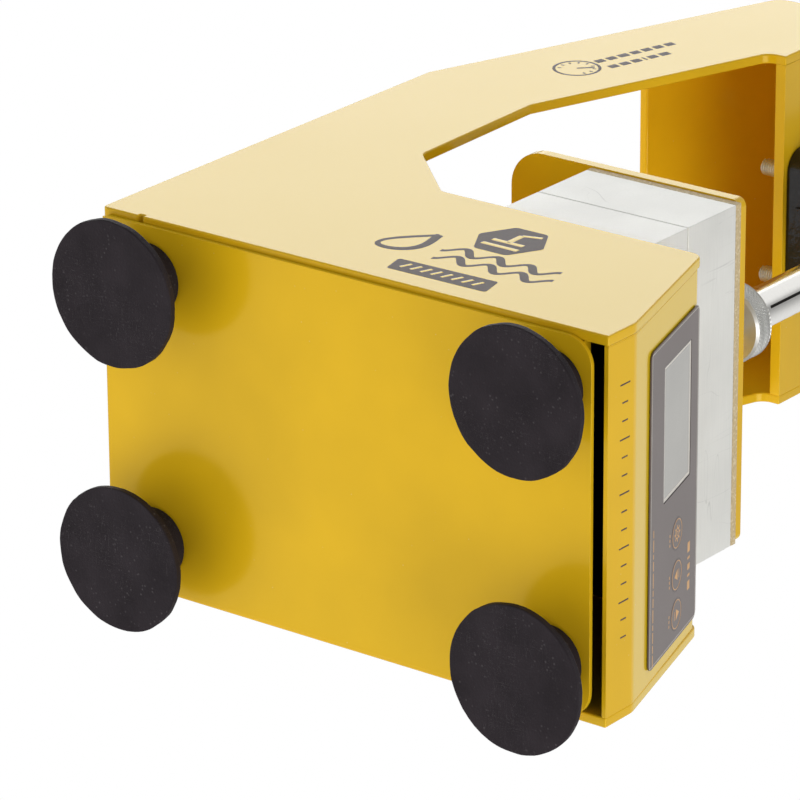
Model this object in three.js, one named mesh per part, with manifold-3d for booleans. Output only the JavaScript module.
// A small lever-operated bench press with two heated plates.
// Millimetres, +Z up. Inside the press group x runs to the right, y from the front face back,
// and z up from the frame's lower edges.
import * as THREE from 'three';
import { mergeVertices } from 'three/addons/utils/BufferGeometryUtils.js';
import Module from 'manifold-3d';

const wasm = await Module();
wasm.setup();

// ---- driving dimensions ----
const GAP = 0.3;                 // clearance where a piece meets a neighbour
const FRAME_W = 130;             // over the side plates
const FRAME_D = 200;
const FRAME_H = 317;             // side plates' lower edge to the head's top
const PLATE_T = 3.5;             // side plates
const SHEET_T = 1.5;             // folded covers
const FOOT_H = 22;
const FOOT_R = 25;
const FOOT_X = 45.8;
const FOOT_Y = [19.4, 178.5];
const CENTRE_Y = 95.5;           // middle of the whole press, from its front face

const BASE_H = 77;
const STRIP_H = 14.5;            // upright strip below the slanted panel
const PANEL_TOP_Y = 18.5;
const PANEL_LEAN = Math.atan2(PANEL_TOP_Y, BASE_H - SHEET_T - STRIP_H);
const ROLL_SET = 0.45;           // the sheet's roll starts this far behind the panel's top
const COVER_END = 30;            // the roll runs back to here, where the base top begins

const AXIS_Y = 74;               // plunger axis
const PLATEN = { w: 120, d: 59.6, t: 27.4, y: 44.3 };
const LOWER_INSULATION_T = 1.7;
const UPPER_INSULATION_T = 3;
const PLATEN_Z = BASE_H + 2;     // underside of the lower platen
const CARRIER = { halfW: 60.5, y0: 45, y1: 137, t: 3.8 };

const ROD_R = 7.25;
const ROD_Z = 181;
const KEY = { halfW: 0.5, depth: 1.3, turn: -0.4 };   // groove along the rod
const RING = { r: 13.8, h: 9 };
const STUD_R = 5;

const HEAD_Y = 110;              // front face of the head
const HEAD_Z = 261;              // its lower edge
const HEAD_T = 4;
const BOLT_X = 20;
const BOLT_Z = [269, 305];

// ---- toggle linkage: lever pivot, crank, link, rod pin ----
const PIVOT_Z = 370;
const CRANK = 20;
const LINK = 50;
const CRANK_Z = PIVOT_Z - CRANK;
const ROD_PIN_Z = CRANK_Z - LINK;
const PIN_R = 4;
const TONGUE = 4;                // half thickness of the rod's tongue and of the lever
const LINK_IN = 4.6;             // link plates run from here
const LINK_OUT = 8.4;            // to here on both sides
const EAR_IN = 9.6;
const EAR_OUT = 14.2;
const FINE = 7;                  // arc steps on the folded and cut sheets

// ---- control panel, in the panel's own frame: x right, y up the slope, z out ----
const OVERLAY = { x0: -50, x1: 57, y0: 13.5, y1: 61.5, t: 0.5 };
const LCD = { x0: -41, x1: 5, y0: 26.7, y1: 54 };
const BUTTON_R = 5.2;
const BUTTON_Y = 41;
const BUTTONS = { button_set: 20.2, button_down: 34.5, button_up: 48 };

// ---- geometry helpers ----
const X = new THREE.Vector3(1, 0, 0);
const Y = new THREE.Vector3(0, 1, 0);
const Z = new THREE.Vector3(0, 0, 1);

// A closed outline from corners [u, v, radius]; a corner with a radius becomes an arc.
function outline(corners) {
  const shape = new THREE.Shape();
  corners.forEach(([u, v, r = 0], i) => {
    const corner = new THREE.Vector2(u, v);
    const before = corners[(i + corners.length - 1) % corners.length];
    const after = corners[(i + 1) % corners.length];
    const a = new THREE.Vector2(before[0], before[1]).sub(corner).normalize();
    const b = new THREE.Vector2(after[0], after[1]).sub(corner).normalize();
    if (r === 0) {
      if (i === 0) shape.moveTo(u, v);
      else shape.lineTo(u, v);
      return;
    }
    const half = Math.acos(a.dot(b)) / 2;
    const centre = a.clone().add(b).normalize().multiplyScalar(r / Math.sin(half)).add(corner);
    const start = a.multiplyScalar(r / Math.tan(half)).add(corner).sub(centre);
    const end = b.multiplyScalar(r / Math.tan(half)).add(corner).sub(centre);
    if (i > 0) shape.lineTo(centre.x + start.x, centre.y + start.y);
    shape.absarc(centre.x, centre.y, r, start.angle(), end.angle(), start.cross(end) < 0);
  });
  return shape;
}

function rectangle(u0, v0, u1, v1, r = 0) {
  return outline([[u0, v0, r], [u1, v0, r], [u1, v1, r], [u0, v1, r]]);
}

// Two equal round ends joined by straight sides.
function capsule([u0, v0], [u1, v1], r) {
  const along = Math.atan2(v1 - v0, u1 - u0);
  const shape = new THREE.Shape();
  shape.absarc(u1, v1, r, along - Math.PI / 2, along + Math.PI / 2, false);
  shape.absarc(u0, v0, r, along + Math.PI / 2, along + 3 * Math.PI / 2, false);
  return shape;
}

function slab(shape, depth, steps) {
  return new THREE.ExtrudeGeometry(shape, { depth, bevelEnabled: false, curveSegments: steps });
}

// Outline in (y, z), from x0 to x1.
function acrossX(shape, x0, x1, steps = 3) {
  const turned = new THREE.Matrix4().makeBasis(Y, Z, X);
  return slab(shape, x1 - x0, steps).applyMatrix4(turned).translate(x0, 0, 0);
}

// Outline in (x, z), from y0 to y1.
function acrossY(shape, y0, y1, steps = 3) {
  const turned = new THREE.Matrix4().makeBasis(X, Z, Y.clone().negate());
  return slab(shape, y1 - y0, steps).applyMatrix4(turned).translate(0, y1, 0);
}

// Outline in (x, y), from z0 to z1.
function acrossZ(shape, z0, z1, steps = 3) {
  return slab(shape, z1 - z0, steps).translate(0, 0, z0);
}

function block(x0, x1, y0, y1, z0, z1) {
  const box = new THREE.BoxGeometry(x1 - x0, y1 - y0, z1 - z0);
  return box.translate((x0 + x1) / 2, (y0 + y1) / 2, (z0 + z1) / 2);
}

// Turned about Z through (x, y): the profile holds [radius, z] from the bottom up.
function turned(profile, x = 0, y = 0, sides = 24) {
  const points = profile.map(([r, z]) => new THREE.Vector2(r, z));
  return new THREE.LatheGeometry(points, sides).rotateX(Math.PI / 2).translate(x, y, 0);
}

function roundZ(r, x, y, z0, z1, sides = 24) {
  return turned([[0, z0], [r, z0], [r, z1], [0, z1]], x, y, sides);
}

function roundY(r, x, z, y0, y1, sides = 24) {
  const pin = new THREE.CylinderGeometry(r, r, y1 - y0, sides);
  return pin.translate(x, (y0 + y1) / 2, z);
}

function roundX(r, y, z, x0, x1, sides = 24) {
  const pin = new THREE.CylinderGeometry(r, r, x1 - x0, sides).rotateZ(Math.PI / 2);
  return pin.translate((x0 + x1) / 2, y, z);
}

function hexagon(r, x, y) {
  const points = [];
  for (let i = 0; i < 6; i += 1) {
    const a = i * Math.PI / 3;
    points.push(new THREE.Vector2(x + r * Math.cos(a), y + r * Math.sin(a)));
  }
  return new THREE.Shape(points);
}

function solid(geometry) {
  const bare = geometry.clone();
  bare.deleteAttribute('normal');
  bare.deleteAttribute('uv');
  const merged = mergeVertices(bare, 1e-4);
  const mesh = new wasm.Mesh({
    numProp: 3,
    vertProperties: merged.attributes.position.array,
    triVerts: new Uint32Array(merged.index.array),
  });
  return new wasm.Manifold(mesh);
}

function surface(manifold) {
  const mesh = manifold.getMesh();
  const geometry = new THREE.BufferGeometry();
  geometry.setAttribute('position', new THREE.BufferAttribute(mesh.vertProperties, 3));
  geometry.setIndex(new THREE.BufferAttribute(mesh.triVerts, 1));
  geometry.computeVertexNormals();
  return geometry;
}

function join(...pieces) {
  return surface(pieces.map(solid).reduce((whole, one) => whole.add(one)));
}

function cut(body, ...tools) {
  return surface(tools.map(solid).reduce((rest, tool) => rest.subtract(tool), solid(body)));
}

// ---- finishes ----
const FINISH = {
  yellow: [0xd9a92b, 0.42, 0.1],
  aluminium: [0xc9cac6, 0.38, 0.9],
  steel: [0xb9bab8, 0.3, 1],
  chrome: [0xdcdcda, 0.12, 1],
  black_casting: [0x1d1b1d, 0.35, 0.4],
  rubber: [0x322d30, 0.85, 0],
  grip: [0x1b1b1c, 0.6, 0],
  insulation: [0xb89b74, 0.9, 0],
  overlay: [0x6f686d, 0.5, 0],
  glass: [0x9aa1a3, 0.15, 0],
  board: [0x1f5a3a, 0.6, 0],
  plastic: [0x1c1c1e, 0.5, 0],
  lead: [0x3a3a3c, 0.7, 0],
};

function piece(name, geometry, finish) {
  const [color, roughness, metalness] = FINISH[finish];
  const material = new THREE.MeshStandardMaterial({ color, roughness, metalness });
  const mesh = new THREE.Mesh(geometry, material);
  mesh.name = name;
  return mesh;
}

// ---- frame ----
const INNER = FRAME_W / 2 - PLATE_T;   // inner face of a side plate
const SHEET_X = INNER - GAP;           // sheets between the plates end here

function sidePlates() {
  const edge = outline([
    [0, 0], [0, STRIP_H, 10], [PANEL_TOP_Y, BASE_H, 5], [121, BASE_H, 4], [148.5, 103, 5],
    [150, 165.5, 6], [117, HEAD_Z, 5], [HEAD_Y, HEAD_Z], [HEAD_Y, FRAME_H, 1],
    [150, FRAME_H, 6], [FRAME_D, 174, 8], [FRAME_D, 0, 2], [185, 0], [185, 1.5], [183, 1.5],
    [183, 0],
  ]);
  return [
    piece('side_plate_left', acrossX(edge, -FRAME_W / 2, -INNER, FINE), 'yellow'),
    piece('side_plate_right', acrossX(edge, INNER, FRAME_W / 2, FINE), 'yellow'),
  ];
}

// Front strip, slanted panel and the roll into the base top, folded from one sheet.
function frontCover(panelTools) {
  const lean = Math.tan(PANEL_LEAN / 2) * SHEET_T;
  const roll = Math.tan((Math.PI / 2 - PANEL_LEAN) / 2) * SHEET_T;
  const top = PANEL_TOP_Y + ROLL_SET;
  const fold = outline([
    [0, 0], [0, STRIP_H, 10], [top, BASE_H, 7], [COVER_END, BASE_H], [COVER_END, BASE_H - SHEET_T],
    [top + roll, BASE_H - SHEET_T, 5.5], [SHEET_T, STRIP_H - lean, 8.5], [SHEET_T, 0],
  ]);
  const sheet = acrossX(fold, -SHEET_X, SHEET_X, FINE);
  return piece('front_cover', cut(sheet, ...panelTools), 'yellow');
}

function baseTop() {
  const sheet = block(-SHEET_X, SHEET_X, COVER_END + GAP, FRAME_D - SHEET_T - GAP,
    BASE_H - SHEET_T, BASE_H);
  return piece('base_top_plate', cut(sheet, roundZ(7, 0, LEAD_Y, 70, 80)), 'yellow');
}

const INLET = { x: -28, z: 40, halfW: 13.5, halfH: 10 };
const SWITCH = { x: 28, z: 40, halfW: 6.6, halfH: 9.6 };
const ROCKER_Y = 197.5;
const ROCKER_TIP = 8 * Math.PI / 180;

function baseBack() {
  const sheet = block(-SHEET_X, SHEET_X, FRAME_D - SHEET_T, FRAME_D, 0, BASE_H);
  const holes = [INLET, SWITCH].map(({ x, z, halfW, halfH }) => block(
    x - halfW - GAP, x + halfW + GAP, FRAME_D - 5, FRAME_D + 5,
    z - halfH - GAP, z + halfH + GAP));
  return piece('base_back_plate', cut(sheet, ...holes), 'yellow');
}

const FEET = {
  front_left: [-FOOT_X, FOOT_Y[0]],
  front_right: [FOOT_X, FOOT_Y[0]],
  rear_left: [-FOOT_X, FOOT_Y[1]],
  rear_right: [FOOT_X, FOOT_Y[1]],
};

function bottomPlate() {
  const edge = outline([[-63, 5, 9], [63, 5, 9], [63, 198, 2], [-63, 198, 2]]);
  const holes = Object.values(FEET).map(([x, y]) => roundZ(3.6, x, y, -4, 2, 16));
  const sheet = acrossZ(edge, -GAP - SHEET_T, -GAP, FINE);
  return piece('bottom_plate', cut(sheet, ...holes), 'yellow');
}

// Cross bars between the side plates; the foot studs screw into them.
function rails() {
  return ['front', 'rear'].map((end, i) => {
    const y = FOOT_Y[i];
    const bar = block(-SHEET_X, SHEET_X, y - 10, y + 10, 0.2, 4.2);
    const holes = [-FOOT_X, FOOT_X].map((x) => roundZ(3.3, x, y, -2, 8, 16));
    return piece(`${end}_rail`, cut(bar, ...holes), 'yellow');
  });
}

function head() {
  const front = block(-SHEET_X, SHEET_X, HEAD_Y, HEAD_Y + HEAD_T, HEAD_Z, FRAME_H);
  const holes = BOLT_Z.flatMap((z) => [-BOLT_X, BOLT_X].map(
    (x) => roundY(3.3, x, z, HEAD_Y - 5, HEAD_Y + 10, 16)));
  const lean = 50 / 143;                       // the back leans this much per unit of height
  const low = 259;
  const t = 3;
  const y = (z) => 150 + (FRAME_H - z) * lean;
  const fold = outline([
    [HEAD_Y + HEAD_T + GAP, FRAME_H], [HEAD_Y + HEAD_T + GAP, FRAME_H - t],
    [148.9 - t * 0.7, FRAME_H - t, 5], [y(low) - t * 1.06, low], [y(low), low],
    [150, FRAME_H, 8],
  ]);
  return [
    piece('head_front_plate', cut(front, ...holes), 'yellow'),
    piece('head_back_cover', acrossX(fold, -SHEET_X, SHEET_X, FINE), 'yellow'),
  ];
}

function feet() {
  return Object.entries(FEET).flatMap(([place, [x, y]]) => {
    const profile = [[0, -FOOT_H], [FOOT_R, -FOOT_H], [FOOT_R, -19.4], [23.4, -18.6],
      [13, -15.4], [12, -12], [12, -2.1], [0, -2.1]];
    const rubber = cut(turned(profile, x, y, 40), roundZ(3.3, x, y, -13, 0, 16));
    return [
      piece(`foot_${place}`, rubber, 'rubber'),
      piece(`foot_stud_${place}`, roundZ(3, x, y, -12.5, 9, 16), 'steel'),
    ];
  });
}

// ---- heated plates ----
const HEATER = { x: 30, r: 3.95, len: 50 };
const SENSOR = { r: 2, len: 20 };
const REAR_Y = PLATEN.y + PLATEN.d;
const LOWER_TOP = PLATEN_Z + PLATEN.t - GAP / 2;
const UPPER_Z = PLATEN_Z + PLATEN.t + GAP / 2;
const UPPER_TOP = PLATEN_Z + 2 * PLATEN.t;
const CARRIER_Z = UPPER_TOP + UPPER_INSULATION_T;
const CARRIER_TOP = CARRIER_Z + CARRIER.t;
const HALF_W = PLATEN.w / 2;

// A plate with two heater bores and a sensor bore from the rear.
function platen(z0, z1) {
  const mid = (z0 + z1) / 2;
  const plate = block(-HALF_W, HALF_W, PLATEN.y, REAR_Y, z0, z1);
  const bores = [-HEATER.x, HEATER.x].map(
    (x) => roundY(HEATER.r + GAP, x, mid, REAR_Y - HEATER.len - 2, REAR_Y + 1));
  return [plate, ...bores, roundY(SENSOR.r + GAP, 0, mid, REAR_Y - SENSOR.len - 2, REAR_Y + 1, 16)];
}

function heaters(level, mid) {
  const rod = (x) => roundY(HEATER.r, x, mid, REAR_Y - HEATER.len - 1, REAR_Y - 0.4, 20);
  return [
    piece(`${level}_heater_left`, rod(-HEATER.x), 'steel'),
    piece(`${level}_heater_right`, rod(HEATER.x), 'steel'),
    piece(`${level}_sensor`, roundY(SENSOR.r, 0, mid, REAR_Y - SENSOR.len - 1, REAR_Y - 0.4, 12),
      'steel'),
  ];
}

// A shallow box over the bores' mouths, open towards the plate.
function terminalCover(level, z0, z1) {
  const shell = block(-38, 38, REAR_Y + GAP, REAR_Y + 11, z0, z1);
  const hollow = block(-36, 36, REAR_Y, REAR_Y + 9, z0 + 2, z1 - 2);
  return piece(`${level}_terminal_cover`, cut(shell, hollow), 'plastic');
}

function lowerPress() {
  const sheetTop = BASE_H + LOWER_INSULATION_T;
  const sheet = block(-HALF_W, HALF_W, PLATEN.y, REAR_Y, BASE_H + 0.1, sheetTop);
  const mid = (PLATEN_Z + LOWER_TOP) / 2;
  return [
    piece('lower_insulation', sheet, 'insulation'),
    piece('lower_platen', cut(...platen(PLATEN_Z, LOWER_TOP)), 'aluminium'),
    terminalCover('lower', mid - 8, mid + 8),
    ...heaters('lower', mid),
  ];
}

function upperPress() {
  const mid = (UPPER_Z + UPPER_TOP) / 2;
  const studHole = (r, z0, z1) => roundZ(r, 0, AXIS_Y, z0, z1);
  const carrierEdge = outline([
    [-CARRIER.halfW, CARRIER.y0, 3], [CARRIER.halfW, CARRIER.y0, 3],
    [CARRIER.halfW, CARRIER.y1, 13], [-CARRIER.halfW, CARRIER.y1, 13],
  ]);
  const sheet = block(-HALF_W, HALF_W, PLATEN.y, REAR_Y, UPPER_TOP + 0.1, CARRIER_Z - 0.1);
  const carrier = acrossZ(carrierEdge, CARRIER_Z, CARRIER_TOP, FINE);
  return [
    piece('upper_platen', cut(...platen(UPPER_Z, UPPER_TOP),
      studHole(STUD_R + GAP, UPPER_TOP - 13, UPPER_TOP + 1)), 'aluminium'),
    piece('upper_insulation', cut(sheet, studHole(STUD_R + GAP, 130, 150)), 'insulation'),
    piece('carrier_plate', cut(carrier, studHole(STUD_R + GAP, 130, 150)), 'yellow'),
    piece('carrier_nut', cut(acrossZ(hexagon(9.8, 0, AXIS_Y), CARRIER_TOP + 0.1, CARRIER_TOP + 8),
      studHole(STUD_R + GAP, 130, 160)), 'steel'),
    piece('threaded_stud', studHole(STUD_R, UPPER_TOP - 12, ROD_Z + 14), 'steel'),
    terminalCover('upper', mid - 8, mid + 8),
    ...heaters('upper', mid),
  ];
}

// ---- plunger ----
function plunger() {
  const shoulder = ROD_PIN_Z - 19;             // the round part ends here, the tongue begins
  const top = ROD_PIN_Z + ROD_R;
  const round = turned([[0, ROD_Z], [ROD_R - 0.6, ROD_Z], [ROD_R, ROD_Z + 0.8],
    [ROD_R, shoulder], [0, shoulder]], 0, AXIS_Y, 32);
  const tongue = acrossX(outline([
    [AXIS_Y - ROD_R + 0.3, shoulder - 2], [AXIS_Y + ROD_R - 0.3, shoulder - 2],
    [AXIS_Y + ROD_R - 0.3, top, 6.8], [AXIS_Y - ROD_R + 0.3, top, 6.8],
  ]), -TONGUE, TONGUE, 6);
  const key = block(-KEY.halfW, KEY.halfW, -ROD_R - 1, -ROD_R + KEY.depth, ROD_Z + 9, shoulder - 3);
  key.rotateZ(KEY.turn).translate(0, AXIS_Y, 0);
  const body = cut(join(round, tongue), key,
    roundZ(STUD_R + GAP, 0, AXIS_Y, ROD_Z - 1, ROD_Z + 15, 20),
    roundX(PIN_R + GAP, AXIS_Y, ROD_PIN_Z, -10, 10));
  const ring = turned([[STUD_R + GAP, ROD_Z - RING.h], [RING.r - 1.6, ROD_Z - RING.h],
    [RING.r, ROD_Z - RING.h + 1.6], [RING.r, ROD_Z - 1], [RING.r - 0.8, ROD_Z - 0.2],
    [STUD_R + GAP, ROD_Z - 0.2], [STUD_R + GAP, ROD_Z - RING.h]], 0, AXIS_Y, 36);
  return [
    piece('plunger_rod', body, 'chrome'),
    piece('rod_pin', roundX(PIN_R, AXIS_Y, ROD_PIN_Z, -TONGUE - 0.2, TONGUE + 0.2), 'steel'),
    piece('ring_nut', ring, 'steel'),
  ];
}

// ---- toggle clamp ----
function clampBody() {
  const face = HEAD_Y - GAP;
  const flange = acrossY(rectangle(-29.5, 263, 29.5, 314, 8), face - 8, face);
  const barrel = roundZ(13.5, 0, AXIS_Y, 262, 278, 32);
  const web = block(-10, 10, AXIS_Y, face - 4, 262, 278);
  const earEdge = outline([
    [AXIS_Y - 11, 268, 4], [face - 6, 264, 1], [face - 4, 312, 4], [AXIS_Y + 14, 336, 20],
    [AXIS_Y + 11, PIVOT_Z + 11, 11], [AXIS_Y - 11, PIVOT_Z + 11, 11],
  ]);
  const ears = [[-EAR_OUT, -EAR_IN], [EAR_IN, EAR_OUT]].map(
    ([x0, x1]) => acrossX(earEdge, x0, x1, 4));
  const bolts = BOLT_Z.flatMap((z) => [-BOLT_X, BOLT_X].map(
    (x) => roundY(3.3, x, z, face - 20, face + 5, 16)));
  return piece('clamp_body', cut(join(flange, web, barrel, ...ears),
    roundZ(ROD_R + GAP, 0, AXIS_Y, 255, 300, 32), ...bolts,
    roundX(PIN_R + GAP, AXIS_Y, PIVOT_Z, -20, 20)), 'black_casting');
}

const GRIP_LOW = 152;
const BAR_STEPS = 32;
const BAR_R = 5.5;
const LEVER_BAR = [[44, 354], [30, 345], [14, 326], [5, 298], [1, 262], [0, 222], [0, 160]];

function barPath(points) {
  return new THREE.CatmullRomCurve3(points.map(([y, z]) => new THREE.Vector3(0, y, z)));
}

function lever() {
  const pivot = [AXIS_Y, PIVOT_Z];
  const crank = acrossX(capsule(pivot, [AXIS_Y, CRANK_Z], 8.5), -TONGUE, TONGUE, 6);
  const arm = acrossX(capsule(pivot, [38, 351], 8.5), -TONGUE, TONGUE, 6);
  const boss = roundX(6.4, AXIS_Y, PIVOT_Z, -EAR_IN + GAP, EAR_IN - GAP);
  const section = new THREE.Shape();
  section.absarc(0, 0, BAR_R, 0, 2 * Math.PI, false);
  const bar = new THREE.ExtrudeGeometry(section, {
    extrudePath: barPath(LEVER_BAR), steps: BAR_STEPS, curveSegments: 9, bevelEnabled: false,
  });
  const holes = [PIVOT_Z, CRANK_Z].map((z) => roundX(PIN_R + GAP, AXIS_Y, z, -20, 20));
  const grip = turned([[0, GRIP_LOW], [9, GRIP_LOW], [12, GRIP_LOW + 3], [12.5, GRIP_LOW + 20],
    [10.5, GRIP_LOW + 60], [11.5, GRIP_LOW + 76], [10, GRIP_LOW + 80], [0, GRIP_LOW + 80]],
  0, 0, 20);
  const sleeve = cut(grip, new THREE.ExtrudeGeometry(gripBore(), {
    extrudePath: barPath(LEVER_BAR), steps: BAR_STEPS, curveSegments: 9, bevelEnabled: false,
  }));
  return [
    piece('lever', cut(join(crank, arm, boss, bar), ...holes), 'steel'),
    piece('lever_grip', sleeve, 'grip'),
  ];
}

function gripBore() {
  const section = new THREE.Shape();
  section.absarc(0, 0, BAR_R + GAP, 0, 2 * Math.PI, false);
  return section;
}

function links() {
  const edge = capsule([AXIS_Y, CRANK_Z], [AXIS_Y, ROD_PIN_Z], 7);
  const rivet = (x0, x1) => roundX(PIN_R, AXIS_Y, ROD_PIN_Z, x0, x1);
  const hole = roundX(PIN_R + GAP, AXIS_Y, CRANK_Z, -20, 20);
  return [
    piece('link_left', cut(join(acrossX(edge, -LINK_OUT, -LINK_IN, 6),
      rivet(-EAR_IN + GAP, -LINK_IN - 1)), hole), 'steel'),
    piece('link_right', cut(join(acrossX(edge, LINK_IN, LINK_OUT, 6),
      rivet(LINK_IN + 1, EAR_IN - GAP)), hole), 'steel'),
    piece('crank_pin', roundX(PIN_R, AXIS_Y, CRANK_Z, -EAR_IN + GAP, EAR_IN - GAP), 'steel'),
    piece('lever_pin', roundX(PIN_R, AXIS_Y, PIVOT_Z, -EAR_OUT - 1.5, EAR_OUT + 1.5), 'steel'),
  ];
}

// M6 cap screws through the clamp's flange into the head; their ends stand out behind it.
function clampBolts() {
  const names = { lower: BOLT_Z[0], upper: BOLT_Z[1] };
  return Object.entries(names).flatMap(([row, z]) => ['left', 'right'].map((side) => {
    const x = side === 'left' ? -BOLT_X : BOLT_X;
    const seat = HEAD_Y - 8 - 2 * GAP;
    const head6 = cut(roundY(5, x, z, seat - 6, seat, 20),
      acrossY(hexagon(2.9, x, z), seat - 7, seat - 3));
    return piece(`clamp_bolt_${row}_${side}`,
      join(head6, roundY(3, x, z, seat - 1, HEAD_Y + 13.5, 16)), 'steel');
  }));
}

// ---- controls ----
function onPanel(...pieces) {
  const panel = new THREE.Group();
  panel.position.set(0, 0, STRIP_H);
  panel.rotation.x = Math.PI / 2 - PANEL_LEAN;
  panel.add(...pieces);
  return panel;
}

function windowShape(grow) {
  return rectangle(LCD.x0 - grow, LCD.y0 - grow, LCD.x1 + grow, LCD.y1 + grow, 1);
}

// What is cut out of the front cover: the window and three button holes.
function panelTools() {
  const tools = [acrossZ(windowShape(0.5), -8, 8)];
  Object.values(BUTTONS).forEach((x) => {
    tools.push(roundZ(BUTTON_R + 0.4, x, BUTTON_Y, -8, 8));
  });
  return tools.map((tool) => tool.rotateX(Math.PI / 2 - PANEL_LEAN).translate(0, 0, STRIP_H));
}

function controls() {
  const edge = rectangle(OVERLAY.x0, OVERLAY.y0, OVERLAY.x1, OVERLAY.y1, 2.5);
  const holes = Object.values(BUTTONS).map(
    (x) => roundZ(BUTTON_R + 0.3, x, BUTTON_Y, -1, 3));
  const overlay = cut(acrossZ(edge, GAP, GAP + OVERLAY.t), acrossZ(windowShape(0), -1, 3),
    ...holes);
  const display = acrossZ(windowShape(-0.3), -9.6, GAP + 0.1);
  const board = block(-48, 54, 17, 59, -11.6, -10);
  return onPanel(
    piece('control_overlay', overlay, 'overlay'),
    piece('lcd_display', display, 'glass'),
    piece('display_board', board, 'board'),
    ...Object.entries(BUTTONS).map(([name, x]) => piece(
      name, roundZ(BUTTON_R, x, BUTTON_Y, -5, GAP + OVERLAY.t + 0.2), 'overlay')),
  );
}

// ---- power ----
function powerInlet() {
  const { x, z, halfW, halfH } = INLET;
  const flange = acrossY(rectangle(x - halfW - 2, z - halfH - 2, x + halfW + 2, z + halfH + 2, 3),
    FRAME_D + GAP, FRAME_D + 3);
  const shell = block(x - halfW, x + halfW, 176, FRAME_D + 1, z - halfH, z + halfH);
  const socket = block(x - 11.5, x + 11.5, 184, FRAME_D + 5, z - 8, z + 8);
  const contacts = [[-7, 2], [7, 2], [0, -2]].map(([dx, dz]) => block(
    x + dx - 1, x + dx + 1, 183, 197, z + dz - 2 + 3, z + dz + 2 + 3));
  return piece('power_inlet', join(cut(join(flange, shell), socket), ...contacts), 'plastic');
}

function powerSwitch() {
  const { x, z, halfW, halfH } = SWITCH;
  const flange = block(x - halfW - 1, x + halfW + 1, FRAME_D + GAP, FRAME_D + 2.3,
    z - halfH - 1, z + halfH + 1);
  const shell = block(x - halfW, x + halfW, 186, FRAME_D + 1, z - halfH, z + halfH);
  const well = block(x - 5.4, x + 5.4, 190, FRAME_D + 5, z - 8.4, z + 8.4);
  // The rocker's outline about its own pivot, tipped to one side at rest.
  const rocker = acrossX(outline([
    [-4, -3], [-4, 3], [2, 7.2, 0.6], [5.2, 7, 0.6], [3.6, 0], [5.2, -7, 0.6], [2, -7.2, 0.6],
  ]), x - 5, x + 5).rotateX(ROCKER_TIP).translate(0, ROCKER_Y, z);
  return [
    piece('switch_body', cut(join(flange, shell), well), 'plastic'),
    piece('power_rocker', rocker, 'plastic'),
  ];
}

function powerModule() {
  const foot = block(-50, 40, 70, 130, 0.2, 5);
  const housing = block(-48, 38, 72, 128, 4, 34);
  return piece('power_module', join(foot, housing), 'plastic');
}

// ---- heater lead: from the upper terminal cover down into the base, clear of both covers ----
const LEAD_Y = 128;
const LEAD_R = 3;
const LEAD_TOP = (UPPER_Z + UPPER_TOP) / 2;
const LEAD_PATH = [
  [REAR_Y + 11.4, LEAD_TOP], [REAR_Y + 16, LEAD_TOP + 0.5], [REAR_Y + 21, LEAD_TOP - 2],
  [LEAD_Y, LEAD_TOP - 8], [LEAD_Y + 1, LEAD_TOP - 16], [LEAD_Y, 92], [LEAD_Y, 80],
  [LEAD_Y, 66], [LEAD_Y - 1, 56], [LEAD_Y - 2, 46],
];

function heaterLead() {
  const section = new THREE.Shape();
  section.absarc(0, 0, LEAD_R, 0, 2 * Math.PI, false);
  const tube = new THREE.ExtrudeGeometry(section, {
    extrudePath: barPath(LEAD_PATH), steps: 26, curveSegments: 5, bevelEnabled: false,
  });
  const top = BASE_H + 2;
  const low = BASE_H - SHEET_T - 2;
  const r = LEAD_R + GAP;
  const grommet = turned([[r, low], [8.6, low], [8.6, low + 1.7], [6.6, low + 1.7],
    [6.6, BASE_H + GAP], [8.6, BASE_H + GAP], [8.2, top], [r, top], [r, low]], 0, LEAD_Y, 20);
  return [piece('upper_lead', tube, 'lead'), piece('lead_grommet', grommet, 'rubber')];
}

const press = new THREE.Group();
press.position.set(0, -CENTRE_Y, FOOT_H);
press.add(
  ...sidePlates(), frontCover(panelTools()), baseTop(), baseBack(), bottomPlate(), ...rails(),
  ...head(), ...feet(), ...lowerPress(), ...upperPress(), ...plunger(), clampBody(), ...lever(),
  ...links(), ...clampBolts(), controls(), powerInlet(), ...powerSwitch(), powerModule(),
  ...heaterLead(),
);

export default press;
